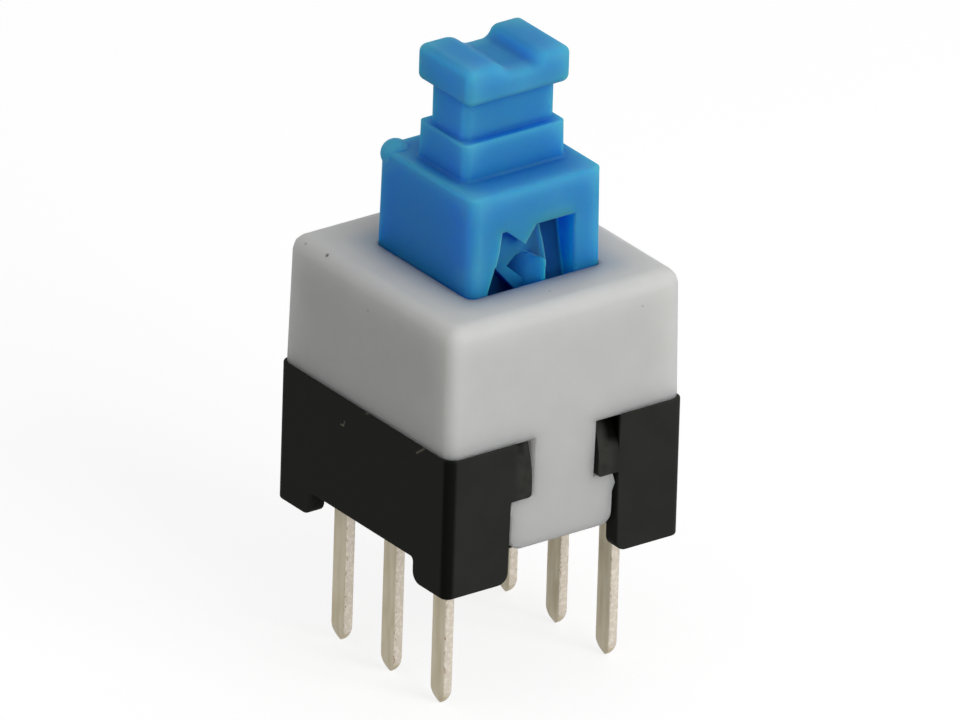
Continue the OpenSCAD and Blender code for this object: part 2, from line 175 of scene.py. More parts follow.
def colour(red, green, blue):
    """Linear colour from the 0 to 255 values that a picture shows."""

    def linear(value):
        share = value / 255
        return share / 12.92 if share <= 0.04045 else ((share + 0.055) / 1.055) ** 2.4

    return (linear(red), linear(green), linear(blue), 1.0)


# %% [markdown]
# ## One recipe for the moulded plastics
#
# All three mouldings are the same kind of thing: a smooth plastic with a very fine matt grain. The grain
# is a Noise texture that feeds a weak Bump, and a coarser one changes the shade a little. Both are on
# Object coordinates, so they stay with the piece. What differs is the colour, the gloss and how far
# light travels inside. Where a pattern fades in, its two limits are kept as a pair named for it.

# %% A recipe for plastic
GRAIN_PER_MM = 22
GRAIN_DEPTH = 0.01
MOTTLE_PER_MM = 0.9
MOTTLE_FADE = (0.3, 0.7)
SPOT_CORE = 0.35
STROKE_CORE = 0.3
SIDEWAYS = "sideways"
SIDEWAYS_FADE = (0.5, 0.95)
CROWDED_FADE = (0.95, 0.4)


class Finish(Graph):
    """A material with one Principled shader, whose patterns are measured in millimetres."""

    def __init__(self, name):
        self.material = bpy.data.materials.new(name)
        self.material.use_nodes = True
        super().__init__(self.material.node_tree)
        self.shader = self.tree.nodes["Principled BSDF"]
        place = self.add("ShaderNodeTexCoord", out="Object")
        self.place = self.vector("SCALE", {"Vector": place, "Scale": 1 / MM})
        parts = self.add("ShaderNodeSeparateXYZ", None, {0: self.place}).socket.node.outputs
        self.x, self.y, self.z = (Value(self, part) for part in parts)

    def larger(self, first, second):
        return self.add("ShaderNodeMath", {"operation": "MAXIMUM"}, {0: first, 1: second})

    def noise(self, per_mm, detail=2.0):
        pattern = {"Vector": self.place, "Scale": per_mm, "Detail": detail}
        return self.add("ShaderNodeTexNoise", None, pattern)

    def drawn_noise(self, per_mm):
        """Noise with a scale of its own along x, y and z."""
        drawn = self.add("ShaderNodeMapping", None, {"Vector": self.place, "Scale": per_mm})
        return self.add("ShaderNodeTexNoise", None, {"Vector": drawn, "Scale": 1.0})

    def spot(self, centre, radius):
        """1 at a point on the piece, in millimetres, fading to 0 at a distance from it."""
        away = self.vector("DISTANCE", {0: self.place, 1: centre}, out=1)
        return self.ramp(away, radius * SPOT_CORE, radius, 1.0, 0.0)

    def stroke(self, start, end, radius):
        """1 along a straight line between two points on the piece, fading to 0 beside it."""
        run = Vector(end) - Vector(start)
        offset = self.vector("SUBTRACT", {0: self.place, 1: start})
        along = self.vector("DOT_PRODUCT", {0: offset, 1: run / run.length_squared}, out=1)
        share = self.add("ShaderNodeClamp", None, {"Value": along})
        foot = self.vector("SCALE", {"Vector": run, "Scale": share})
        away = self.vector("DISTANCE", {0: offset, 1: foot}, out=1)
        return self.ramp(away, radius * STROKE_CORE, radius, 1.0, 0.0)

    def sideways(self):
        """1 on faces that look left or right, from the attribute that each finished piece has."""
        facing = self.add("ShaderNodeAttribute", {"attribute_name": SIDEWAYS}, out="Fac")
        return self.ramp(facing, *SIDEWAYS_FADE)

    def crowding(self, inside, reach):
        """0 in the open, about 1 in a corner; inside looks into the plastic and finds outer edges."""
        settings = {"samples": 8, "inside": inside}
        clear = self.add("ShaderNodeAmbientOcclusion", settings, {"Distance": reach * MM}, out="AO")
        return self.ramp(clear, *CROWDED_FADE)

    def set(self, **sockets):
        """Sets or links the shader's own sockets, named with underscores for spaces."""
        for name, value in sockets.items():
            socket = self.shader.inputs[name.replace("_", " ")]
            if isinstance(value, Value):
                self.tree.links.new(value.socket, socket)
            else:
                socket.default_value = value

    def grain(self, strength):
        """Fine moulded grain in the surface normal."""
        height = self.noise(GRAIN_PER_MM)
        bump = {"Height": height, "Strength": strength, "Distance": GRAIN_DEPTH * MM}
        self.set(Normal=self.add("ShaderNodeBump", None, bump))

    def mottle(self, tone, share):
        """The tone, a little lighter and darker in soft patches."""
        darker = tuple(channel * (1 - share) for channel in tone[:3]) + (1.0,)
        lighter = tuple(min(1.0, channel * (1 + share)) for channel in tone[:3]) + (1.0,)
        return self.blend(self.ramp(self.noise(MOTTLE_PER_MM), *MOTTLE_FADE), darker, lighter)


# %% [markdown]
# ## Grey, blue and black plastic
#
# The grey housing is a matt, slightly milky plastic with a few dust marks that stayed on it. Round the
# plunger its top gets a painted bluish shade, for the plunger's shade and the blue light through it. The
# blue plunger is the most translucent: its edges glow lighter where little plastic lies behind the
# surface. Subsurface scattering gives that softness, and the Ambient Occlusion node, turned inwards, finds
# the thin edges for a painted lighter glow, which the bead also gets; turned outwards, it finds the inner
# corners for painted dark shade. The floors of its cam get painted dark shade by their depth, and the
# right wall of the return lane a painted lighter glow. The black base is nearly opaque, with a low sheen,
# small scuffs and worn hooks, a painted dark reflection down its front left corner and painted dark shade
# in the undercuts of its hooks. On faces that look left and right, blue and black get a painted shade,
# found by an attribute that every finished piece carries; on the blue it turns lighter towards the top.

# %% Grey housing plastic
GREY = colour(205, 205, 202)
# Painted bluish shade on the top round the plunger hole, for the plunger's shade and the blue light
# through it
GREY_PAINTED_BLUE_SHADE = colour(150, 170, 186)
PAINTED_SHADE_START = 2.42
PAINTED_SHADE_WIDTH = 1.0
PAINTED_SHADE_HEIGHT = 8.2
PAINTED_SHADE_SHARE = 0.6
DUST = colour(70, 66, 58)
# Centre, radius and strength of each mark
DUST_MARKS = (
    ((-3.98, 2.42, 8.5), 0.09, 0.75),
    ((-4.01, 3.46, 8.47), 0.07, 0.35),
    ((-4.17, 0.07, 7.7), 0.05, 0.35),
    ((-0.06, -3.27, 8.62), 0.05, 0.4),
    ((2.68, -4.17, 7.8), 0.05, 0.35),
)


def grey_plastic():
    finish = Finish("grey_plastic")
    tone = finish.mottle(GREY, share=0.015)
    # Painted shade: the top darkens to a bluish grey close round the plunger
    away_x = finish.larger(abs(finish.x) - PAINTED_SHADE_START, 0.0)
    away_y = finish.larger(abs(finish.y - axis_y) - PAINTED_SHADE_START, 0.0)
    away = finish.x.math("POWER", away_x * away_x + away_y * away_y, 0.5)
    painted_shade = finish.ramp(away, PAINTED_SHADE_WIDTH, 0.0) * (finish.z > PAINTED_SHADE_HEIGHT)
    tone = finish.blend(painted_shade * PAINTED_SHADE_SHARE, tone, GREY_PAINTED_BLUE_SHADE)
    for centre, radius, strength in DUST_MARKS:
        tone = finish.blend(finish.spot(centre, radius) * strength, tone, DUST)
    finish.set(Base_Color=tone, Roughness=0.62, Specular_IOR_Level=0.12)
    finish.set(Subsurface_Weight=0.9, Subsurface_Radius=(1.0, 0.97, 0.94), Subsurface_Scale=2.4 * MM)
    finish.grain(strength=0.25)
    return finish.material


# %% Blue plunger plastic
BLUE = colour(58, 140, 193)
# Painted shade on faces that look sideways, turning to a painted lighter blue towards the top
BLUE_SIDE_PAINTED_SHADE = colour(58, 133, 210)
BLUE_SIDE_PAINTED_LIGHT = colour(70, 164, 222)
PAINTED_SIDE_HEIGHTS = (8.6, 15.0)
# Painted lighter glow on thin edges and round the bead
BLUE_PAINTED_GLOW = colour(86, 168, 202)
# Painted dark shade in inner corners
BLUE_PAINTED_CORNER_SHADE = colour(14, 106, 190)
# Painted dark shade on the cam's deep floors
BLUE_PAINTED_LANE_SHADE = colour(10, 60, 130)
# Painted dark shade on the latch pocket's shelf
BLUE_PAINTED_SHELF_SHADE = colour(42, 98, 140)
# Painted lighter glow on the return lane's right wall
BLUE_PAINTED_WALL_GLOW = colour(22, 160, 218)
EDGE_DEPTH = 0.9
EDGE_SHARE = 0.8
CORNER_REACH = 1.5
BEAD_PLACE = (-2.0, 1.88, 11.6)
BEAD_REACH = 0.95
BEAD_SHARE = 0.35
CAM_SIDES = (1.7, 2.1)
CAM_HEIGHTS = (10.45, 10.85)
CAM_FACE = -2.54
CAM_SHARE = 0.85
LANE_LEFT = 0.34
LANE_DEPTHS = (0.42, 0.5)
ENTRY_DEPTHS = (0.28, 0.66)
WALL_PLACE = (1.19, 1.33)
WALL_DEPTHS = (0.05, 0.2)
SHELF_PLACE = (-0.3, 0.2)
SHELF_END = 0.8
SHELF_LOW = 9
SHELF_DEPTHS = (0.3, 0.4)
SHELF_FLOOR = 0.44
SHELF_SHARE = 0.9


def blue_plastic():
    finish = Finish("blue_plastic")
    tone = finish.mottle(BLUE, share=0.02)
    # Painted shade on faces that look sideways, lighter towards the top
    painted_side_tone = finish.blend(finish.ramp(finish.z, *PAINTED_SIDE_HEIGHTS), BLUE_SIDE_PAINTED_SHADE, BLUE_SIDE_PAINTED_LIGHT)
    tone = finish.blend(finish.sideways(), tone, painted_side_tone)
    # Painted lighter glow on thin edges, kept off the cam
    off_cam = finish.larger(finish.ramp(abs(finish.x), *CAM_SIDES), finish.ramp(finish.z, *CAM_HEIGHTS))
    tone = finish.blend(finish.crowding(True, EDGE_DEPTH) * off_cam * EDGE_SHARE, tone, BLUE_PAINTED_GLOW)
    # Painted dark shade in inner corners, but not round the bead
    at_bead = finish.spot(BEAD_PLACE, BEAD_REACH)
    tone = finish.blend(finish.crowding(False, CORNER_REACH) * (1 - at_bead), tone, BLUE_PAINTED_CORNER_SHADE)
    # A painted lighter glow round the bead
    tone = finish.blend(at_bead * BEAD_SHARE, tone, BLUE_PAINTED_GLOW)
    # Painted dark shade on the cam's floors and shelf, by their depth
    depth = (finish.y - CAM_FACE) * (finish.y < 0) * (1 - off_cam)
    # Painted lighter glow on the return lane's right wall
    wall = finish.ramp(finish.x, *WALL_PLACE)
    right = finish.x > LANE_LEFT
    tone = finish.blend(right * wall * finish.ramp(depth, *WALL_DEPTHS), tone, BLUE_PAINTED_WALL_GLOW)
    lane = right * (1 - wall) * finish.ramp(depth, *LANE_DEPTHS)
    tone = finish.blend(lane * CAM_SHARE, tone, BLUE_PAINTED_LANE_SHADE)
    shelf = finish.ramp(finish.x, *SHELF_PLACE) * (finish.x < SHELF_END)
    shelf = shelf * finish.ramp(depth, *SHELF_DEPTHS) * (finish.z > SHELF_LOW)
    tone = finish.blend(shelf * (depth < SHELF_FLOOR) * SHELF_SHARE, tone, BLUE_PAINTED_SHELF_SHADE)
    entry = (1 - right) * finish.ramp(depth, *ENTRY_DEPTHS)
    tone = finish.blend(entry * CAM_SHARE, tone, BLUE_PAINTED_LANE_SHADE)
    finish.set(Base_Color=tone, Roughness=0.5, Specular_IOR_Level=0.025)
    finish.set(Subsurface_Weight=1.0, Subsurface_Radius=(0.1, 0.35, 1.0), Subsurface_Scale=4.0 * MM)
    finish.grain(strength=0.12)
    return finish.material


# %% Black base plastic
BLACK = colour(46, 47, 44)
# Painted shade on faces that look sideways
BLACK_SIDE_PAINTED_SHADE = colour(39, 40, 36)
# Painted dark reflection down the front left corner
BLACK_PAINTED_CORNER_REFLECTION = colour(14, 15, 13)
CORNER_LINES = (8.14, 8.3)
CORNER_SHARE = 0.9
SCUFF = colour(150, 146, 130)
SCUFF_SHARE = 0.35
# Start, end and radius of each stroke
SCUFFS = (
    ((-4.25, 1.13, 3.6), (-4.25, 1.0, 3.62), 0.05),
    ((-4.25, 1.0, 3.62), (-4.25, 0.96, 3.76), 0.04),
    ((-4.25, -2.64, 4.2), (-4.25, -2.98, 4.46), 0.05),
    ((-4.25, -0.1, 4.46), (-4.25, -0.2, 4.5), 0.05),
)
BLACK_HOOK = colour(56, 56, 53)
HOOK_SIDES = (1.93, 1.6)
HOOK_LOW = 2.6
HOOK_FACE = 3.7
WEAR_PER_MM = 3.0
WEAR_FADE = (0.2, 0.65)
# Painted dark shade in the undercuts of the hooks
BLACK_PAINTED_UNDERCUT_SHADE = colour(7, 7, 6)
UNDERCUT_FACES = (4.24, 4.08)
UNDERCUT_SIDES = (1.3, 1.7)
UNDERCUT_END = 1.96
UNDERCUT_HEIGHTS = (3.2, 3.5)


def black_plastic():
    finish = Finish("black_plastic")
    # Painted shade on faces that look sideways
    tone = finish.blend(finish.sideways(), finish.mottle(BLACK, share=0.06), BLACK_SIDE_PAINTED_SHADE)
    # Painted dark reflection down the front left corner
    corner = finish.ramp(0 - finish.x - finish.y, *CORNER_LINES)
    tone = finish.blend(corner * CORNER_SHARE, tone, BLACK_PAINTED_CORNER_REFLECTION)
    hook = finish.ramp(abs(finish.x), *HOOK_SIDES) * (finish.z > HOOK_LOW) * (abs(finish.y) > HOOK_FACE)
    worn = finish.ramp(finish.noise(WEAR_PER_MM, detail=3.0), *WEAR_FADE)
    tone = finish.blend(hook * worn, tone, BLACK_HOOK)
    # Painted dark shade in the undercuts of the hooks
    undercut = finish.ramp(abs(finish.y), *UNDERCUT_FACES) * finish.ramp(abs(finish.x), *UNDERCUT_SIDES)
    undercut = undercut * (abs(finish.x) < UNDERCUT_END) * finish.ramp(finish.z, *UNDERCUT_HEIGHTS)
    tone = finish.blend(undercut, tone, BLACK_PAINTED_UNDERCUT_SHADE)
    for start, end, radius in SCUFFS:
        tone = finish.blend(finish.stroke(start, end, radius) * SCUFF_SHARE, tone, SCUFF)
    finish.set(Base_Color=tone, Roughness=0.5, Specular_IOR_Level=0.02)
    finish.grain(strength=0.2)
    return finish.material


# %% [markdown]
# ## Metals
#
# The pins are brass with a dull tin plating: pale and warm, not mirror bright. A soft noise changes the
# roughness, as handled plating does. The narrow faces, where the strip was sheared, are paler and full
# of flecks, and small brown burrs stay along their edges. The hidden spring, lock pin and contact clips
# get plain metals.

# %% Tin, steel and bronze
TIN = colour(220, 209, 183)
TIN_DULL = colour(212, 199, 169)
TIN_SHEARED = colour(208, 198, 183)
TIN_BRIGHT = colour(231, 223, 212)
STEEL = colour(190, 190, 188)
BRONZE = colour(206, 158, 92)
BURR = colour(140, 104, 66)
PIN_PITCH = box_mm("right_normally_closed")[0].y - pin_low.y
PIN_EDGE = 0.35
PIN_ROW = (pin_high.x + pin_low.x) / 2
PIN_THICKNESS = pin_high.x - pin_low.x
STREAKS_PER_MM = (5.0, 5.0, 0.8)
STREAK_FADE = (0.35, 0.7)
SHEARED_FADE = (PIN_EDGE - 0.06, PIN_EDGE - 0.02)
FLECKS_PER_MM = 9.0
FLECK_FADE = (0.46, 0.62)
FLECK_SHARE = 0.6
BURR_FADE_Y = (0.08, 0.03)
BURR_FADE_X = (0.06, 0.02)
DASHES_PER_MM = (14.0, 14.0, 7.0)
DASH_FADE = (0.57, 0.66)
BURR_SHARE = 0.65


def tin_plating():
    finish = Finish("tin_plating")
    half_pitch = PIN_PITCH / 2
    wrapped = {0: finish.y, 1: half_pitch, 2: -half_pitch}
    row_y = finish.add("ShaderNodeMath", {"operation": "WRAP"}, wrapped)
    patches = finish.ramp(finish.drawn_noise(STREAKS_PER_MM), *STREAK_FADE)
    sheared = finish.ramp(abs(row_y), *SHEARED_FADE)
    flecks = finish.ramp(finish.noise(FLECKS_PER_MM, detail=3.0), *FLECK_FADE)
    edge_x = abs(abs(abs(finish.x) - PIN_ROW) - PIN_THICKNESS / 2)
    edge = finish.ramp(abs(row_y + PIN_EDGE), *BURR_FADE_Y) * finish.ramp(edge_x, *BURR_FADE_X)
    burr = edge * finish.ramp(finish.drawn_noise(DASHES_PER_MM), *DASH_FADE)
    tone = finish.blend(patches, TIN, TIN_DULL)
    tone = finish.blend(sheared, tone, finish.blend(flecks * FLECK_SHARE, TIN_SHEARED, TIN_BRIGHT))
    finish.set(Base_Color=finish.blend(burr * BURR_SHARE, tone, BURR), Metallic=0.35 + sheared * 0.5)
    finish.set(Roughness=0.42 + patches * 0.14)
    finish.grain(strength=0.3)
    return finish.material


def plain_metal(name, tone, roughness):
    finish = Finish(name)
    finish.set(Base_Color=tone, Metallic=1.0, Roughness=roughness)
    return finish.material


grey = grey_plastic()
blue = blue_plastic()
black = black_plastic()
tin = tin_plating()
steel = plain_metal("spring_steel", STEEL, roughness=0.3)
bronze = plain_metal("contact_bronze", BRONZE, roughness=0.35)
print("finishes", [material.name for material in (grey, blue, black, tin, steel, bronze)])

# %% [markdown]
# ## Modelling a moulding
#
# A moulded piece is made the way a modeller would do it by hand: simple closed blocks are joined and
# cut by Boolean modifiers with every edge still sharp, and then one Bevel modifier rounds each edge by
# its own radius, read from the edge's bevel weight. The corners where rounded edges meet come out
# smooth. A Weighted Normal modifier keeps the flat faces flat.

# %% Blocks and outlines


def mesh_of(form):
    """A mesh from an edit mesh, which is then freed."""
    bmesh.ops.recalc_face_normals(form, faces=form.faces)
    mesh = bpy.data.meshes.new("form")
    form.to_mesh(mesh)
    form.free()
    return mesh


def stacked(rings):
    """Closed solid through rings of points with equal counts, capped at both ends."""
    form = bmesh.new()
    loops = [[form.verts.new(point) for point in ring] for ring in rings]
    form.faces.new(loops[0])
    form.faces.new(loops[-1])
    for low, high in zip(loops, loops[1:]):
        for i in range(len(low)):
            j = (i + 1) % len(low)
            form.faces.new((low[i], low[j], high[j], high[i]))
    return mesh_of(form)


def prism(outline, along, start, end):
    """A flat outline pushed along x, y or z."""
    order = {"x": (2, 0, 1), "y": (0, 2, 1), "z": (0, 1, 2)}[along]
    rings = []
    for reach in (start, end):
        rings.append([[(u, v, reach)[axis] for axis in order] for u, v in outline])
    return stacked(rings)


def rectangle(left, right, low, high):
    return [(left, low), (right, low), (right, high), (left, high)]


def slab(low, high):
    """A plain box between two corners."""
    return prism(rectangle(low[0], high[0], low[1], high[1]), "z", low[2], high[2])


def tapered(low_half, top_half, low_z, top_z, y=0.0):
    """A block about the line x = 0 at y, whose half sizes change from bottom to top."""
    rings = []
    for (half_x, half_y), z in ((low_half, low_z), (top_half, top_z)):
        rings.append([(u, v, z) for u, v in rectangle(-half_x, half_x, y - half_y, y + half_y)])
    return stacked(rings)


def arc(centre, radius, start, end, steps=10):
    """Points of an arc between two angles in degrees."""
    turns = [math.radians(start + (end - start) * i / steps) for i in range(steps + 1)]
    return [(centre[0] + radius * math.cos(a), centre[1] + radius * math.sin(a)) for a in turns]


def mirrored(right):
    """A whole outline from the points of its right half."""
    return right + [(-u, v) for u, v in reversed(right)]


def rounded_square(half, radius):
    inset = half - radius
    right = arc((inset, -inset), radius, -90, 0) + arc((inset, inset), radius, 0, 90)
    return mirrored(right)


def round_bar(centre, radius, along, start, end):
    """A cylinder along x, y or z."""
    return prism(arc(centre, radius, 0, 360, steps=48)[:-1], along, start, end)


# %% Join, cut and round


def placed(name, mesh):
    piece = bpy.data.objects.new(name, mesh)
    bpy.context.scene.collection.objects.link(piece)
    return piece


def evaluated(piece):
    """The piece's mesh with its modifiers applied; the object itself is removed."""
    bpy.context.view_layer.update()
    final = piece.evaluated_get(bpy.context.evaluated_depsgraph_get())
    mesh = bpy.data.meshes.new_from_object(final)
    bpy.data.objects.remove(piece)
    return mesh


def combined(mesh, tools, operation):
    """The mesh with every tool joined on, cut away, or kept only where both are."""
    piece = placed("combined", mesh)
    helpers = [placed("tool", tool) for tool in tools]
    for helper in helpers:
        change = piece.modifiers.new("combine", "BOOLEAN")
        change.solver = "EXACT"
        change.operation = operation
        change.object = helper
    result = evaluated(piece)
    for helper in helpers:
        bpy.data.objects.remove(helper)
    return result


MERGE_DISTANCE = 0.002
LEVEL_TURN = math.radians(0.5)
FLAT_TURN = math.radians(12)
CREASE_TURN = math.radians(32)


def stands(direction):
    """True for an edge that is nearly upright."""
    return abs(direction.z) > 0.9


def rounded(mesh, radius_of, segments=4):
    """Rounds each edge by the radius that radius_of(middle, direction, turn) gives for it."""
    form = bmesh.new()
    form.from_mesh(mesh)
    bmesh.ops.remove_doubles(form, verts=form.verts, dist=MERGE_DISTANCE)
    bmesh.ops.dissolve_limit(form, angle_limit=LEVEL_TURN, verts=form.verts, edges=form.edges)
    layers = form.edges.layers.float
    weight = layers.get("bevel_weight_edge") or layers.new("bevel_weight_edge")
    widths = {}
    for edge in form.edges:
        edge[weight] = 0.0
        turn = edge.calc_face_angle_signed(0.0)
        if abs(turn) < FLAT_TURN:
            continue
        ends = [vert.co for vert in edge.verts]
        radius = radius_of((ends[0] + ends[1]) / 2, (ends[1] - ends[0]).normalized(), turn)
        widths[edge] = radius * math.tan(abs(turn) / 2)
    widest = max(widths.values())
    for edge, width in widths.items():
        edge[weight] = width / widest
    piece = placed("rounded", mesh_of(form))
    bevel = piece.modifiers.new("round", "BEVEL")
    bevel.limit_method = "WEIGHT"
    bevel.width = widest
    bevel.segments = segments
    bevel.use_clamp_overlap = False
    return evaluated(piece)


def dressed(name, mesh, material, body, slot, *nodes):
    """Finishes a mesh in millimetres as a piece that stands for CAD nodes."""
    form = bmesh.new()
    form.from_mesh(mesh)
    for face in form.faces:
        face.smooth = True
    for edge in form.edges:
        edge.smooth = abs(edge.calc_face_angle_signed(0.0)) < CREASE_TURN
    form.to_mesh(mesh)
    form.free()
    mesh.transform(Matrix.Scale(MM, 4))
    shading = placed(name + "_shading", mesh)
    normals = shading.modifiers.new("normals", "WEIGHTED_NORMAL")
    normals.keep_sharp = True
    piece = placed(name, evaluated(shading))
    piece.data.materials.clear()
    piece.data.materials.append(material)
    # Each corner keeps how far its face looks sideways, which the blue and black plastics use for a
    # painted shade
    facing = piece.data.attributes.new(SIDEWAYS, "FLOAT", "CORNER")
    for share, normal in zip(facing.data, piece.data.corner_normals):
        share.value = abs(normal.vector.x)
    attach(piece, body)
    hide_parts(*nodes)
    print(name, len(piece.data.polygons), "faces")
    return piece


# %% [markdown]
# ## The grey housing
#
# The housing is a square cap, open below, with a square hole in its top for the plunger. A tongue hangs
# from its front and its back, narrow between the base's hooks and wide below them, which is how it snaps
# on. Its big outer edges are rounded generously and the edge of the hole only a little.

# %% Housing
# A place far outside the switch, how far forms overlap, and how close two heights count as the same
OUTSIDE = 20
BITE = 0.05
NEAR = 0.01
draft = 0.06
wall = 0.75
top_thickness = 0.8
plunger_half = 2.42
sliding_gap = 0.006
hook_end = 1.21
tongue_gap = 0.13
slot_half = 1.95
tongue_lean = 0.1
tongue_thickness = 0.5
shoulder_z = 2.62
shoulder_slope = 0.02
barb_height = 0.6
barb_reach = 0.75
barb_point = 0.6
barb_top = 0.125
tongue_radius = 0.37
tongue_edge_radius = 0.05
upright_radius = 0.42
top_radius = 0.5
hole_corner_radius = 0.35
hole_rim_radius = 0.025
edge_band = 0.2

lower_z = base_high.z
housing_half = housing_high.x
roof_z = housing_high.z - top_thickness
cavity = housing_half - wall
opening = plunger_half + sliding_gap
tongue_z = housing_low.z


def front_outline():
    """The housing seen from the front: a cap with a tongue below it."""
    neck = hook_end - tongue_gap
    wide = slot_half - tongue_gap
    barb = wide + tongue_gap * barb_reach
    corner = (wide - tongue_radius, tongue_z + tongue_radius)
    return mirrored(
        arc(corner, tongue_radius, -90, 0)
        + [
            (wide, shoulder_z - barb_height),
            (barb, shoulder_z - barb_height * barb_point),
            (wide, shoulder_z - barb_height * barb_top),
            (wide - shoulder_slope, shoulder_z),
            (neck, shoulder_z),
            (neck, lower_z),
            (housing_half, lower_z),
            (housing_half - draft, housing_high.z),
        ]
    )


def housing_radius(middle, direction, turn):
    """Radius for the corners of the hole, the tongues, the outside and then the rim of the hole."""
    reach = max(abs(middle.x), abs(middle.y))
    if turn < 0:
        in_hole = stands(direction) and reach < opening + edge_band and middle.z > roof_z
        return hole_corner_radius if in_hole else 0.0
    if middle.z < shoulder_z - NEAR:
        return tongue_edge_radius if reach > housing_half - tongue_lean - BITE else 0.0
    if middle.z < lower_z + NEAR:
        return 0.0
    if reach > cavity + edge_band:
        return upright_radius if stands(direction) else top_radius
    return hole_rim_radius if middle.z > housing_high.z - NEAR else 0.0


side_outline = mirrored(
    [
        (housing_half - tongue_lean, tongue_z),
        (housing_half, lower_z),
        (housing_half - draft, housing_high.z),
    ]
)
tongue_back = housing_half - tongue_lean - tongue_thickness
cap = prism(front_outline(), "y", -OUTSIDE, OUTSIDE)
cap = combined(cap, [prism(side_outline, "x", -OUTSIDE, OUTSIDE)], "INTERSECT")
hollow = slab((-cavity, -cavity, -OUTSIDE), (cavity, cavity, roof_z))
between_tongues = slab((-OUTSIDE, -tongue_back, -OUTSIDE), (OUTSIDE, tongue_back, lower_z))
hole = slab((-opening, axis_y - opening, 0), (opening, axis_y + opening, OUTSIDE))
cap = combined(cap, [hollow, between_tongues, hole], "DIFFERENCE")
cap = rounded(cap, housing_radius, segments=5)
dressed("housing_shell", cap, grey, "body", "grey_moulding", "housing")

# %% [markdown]
# ## The black base
#
# The base is a square tray on four corner feet. Gaps in its front and back walls take the tongues, and
# a hook stands on each side of a gap with its upper half leaning in. Inside are a slot for each pin, a
# stud for the spring and a post for the lock pin, hidden once the housing is on.

# %% Base
# How far in front of a surface a cut begins
CLEAR = 1
base_wall = 0.53
foot_height = 0.763
foot_length = 1.69
floor_top = spring_low.z
hook_low = 2.64
hook_flat = 0.5
hook_lean = 0.4
root_lean = 0.8
hook_corner = 0.1
shelf_gap = 0.04
slot_fit = 0.02
foot_radius = 0.37
gap_corner = 0.12
base_corner_radius = 0.27
base_edge_radius = 0.075
rim_band = 0.1
post_half = 0.9
post_top = 3.353
post_back = -3.14
pivot_z = 2.503
pivot_radius = 0.24
stud_radius = 0.61
stud_height = 0.6

base_half = base_high.x
inner = base_half - base_wall
shelf = tongue_back - shelf_gap


def hook_lean_cut(side_x, side_y, steps=5):
    """Cut that bends the upper part of one hook inwards; the right-hand hook is undercut at its root."""
    start_z = hook_low + hook_flat
    rings = []
    root = root_lean if side_x * side_y < 0 else 0.0
    for x, lean in ((hook_end - BITE, hook_lean), (slot_half, root)):
        bend = [(0, OUTSIDE), (0, start_z)]
        for i in range(steps):
            share = i / (steps - 1)
            bend.append((share**2 * lean + CLEAR, start_z + share * (base_high.z + NEAR - start_z)))
        bend.append((lean + CLEAR, OUTSIDE))
        rings.append([(side_x * x, side_y * (base_half + CLEAR - depth), z) for depth, z in bend])
    return stacked(rings)


def pin_slot(side_x, row):
    half_x = PIN_THICKNESS / 2 + slot_fit
    half_y = PIN_EDGE + slot_fit
    x, y = side_x * PIN_ROW, row * PIN_PITCH
    return slab((x - half_x, y - half_y, -OUTSIDE), (x + half_x, y + half_y, OUTSIDE))


def foot_gap(half_width, above):
    """Outline of an opening between two feet with rounded lower corners, and points above them."""
    right = [(half_width + foot_radius, -OUTSIDE)]
    right += arc((half_width + foot_radius, foot_radius), foot_radius, 270, 180)
    return mirrored(right + above)


def base_radius(middle, direction, turn):
    """One radius for the sharp outer edges, apart from those of the hooks."""
    outward = max(abs(middle.x), abs(middle.y))
    on_hook = abs(middle.x) < slot_half - BITE and middle.z > hook_low - NEAR and abs(middle.y) > shelf
    if turn < CREASE_TURN or on_hook or outward < base_half - rim_band:
        return 0.0
    return base_edge_radius


side_half = base_half - foot_length
side_corner = (side_half - gap_corner, foot_height - gap_corner)
side_gap = foot_gap(side_half, arc(side_corner, gap_corner, 0, 90))
hook_round = arc((hook_end + hook_corner, hook_low + hook_corner), hook_corner, 270, 180, steps=4)
front_gap = foot_gap(slot_half, [(slot_half, hook_low)] + hook_round + [(hook_end, OUTSIDE)])
tray = prism(rounded_square(base_half, base_corner_radius), "z", 0, base_high.z)
cuts = [
    slab((-inner, -inner, floor_top), (inner, inner, OUTSIDE)),
    slab((-inner, -inner, -OUTSIDE), (inner, inner, foot_height)),
    prism(side_gap, "x", -OUTSIDE, OUTSIDE),
    prism(front_gap, "y", -OUTSIDE, -shelf),
    prism(front_gap, "y", shelf, OUTSIDE),
]
cuts += [hook_lean_cut(side_x, side_y) for side_x in (-1, 1) for side_y in (-1, 1)]
cuts += [pin_slot(side, row) for side in (-1, 1) for row in (-1, 0, 1)]
tray = combined(tray, cuts, "DIFFERENCE")
post = slab((-post_half, NEAR - shelf, floor_top - BITE), (post_half, post_back, post_top))
pivot_bore = round_bar((0, pivot_z), pivot_radius, "y", -OUTSIDE, OUTSIDE)
post = combined(post, [pivot_bore], "DIFFERENCE")
stud = round_bar((0, axis_y), stud_radius, "z", floor_top - BITE, floor_top + stud_height)
tray = combined(tray, [post, stud], "UNION")
tray = rounded(tray, base_radius)
# Rounding can push a leaning edge out by a hair, so the front and back stay on the CAD box
for vert in tray.vertices:
    vert.co.y = max(base_low.y, min(base_high.y, vert.co.y))
dressed("base_tray", tray, black, "body", "black_moulding", "base")

# %% [markdown]
# ## The blue plunger
#
# From the bottom up: a hollow skirt with a flange that stops it under the housing, a square block with
# the heart-shaped cam cut into its front, a collar, a narrower neck, and a head with a shallow groove.
# A moulding bead stays on one top corner of the block. The cam could be one sculpted mesh. Here it is a
# few simple pockets that cut into each other, with level or sloping floors, because the lock pin climbs
# from one level to the next and each pocket can then be changed by itself.

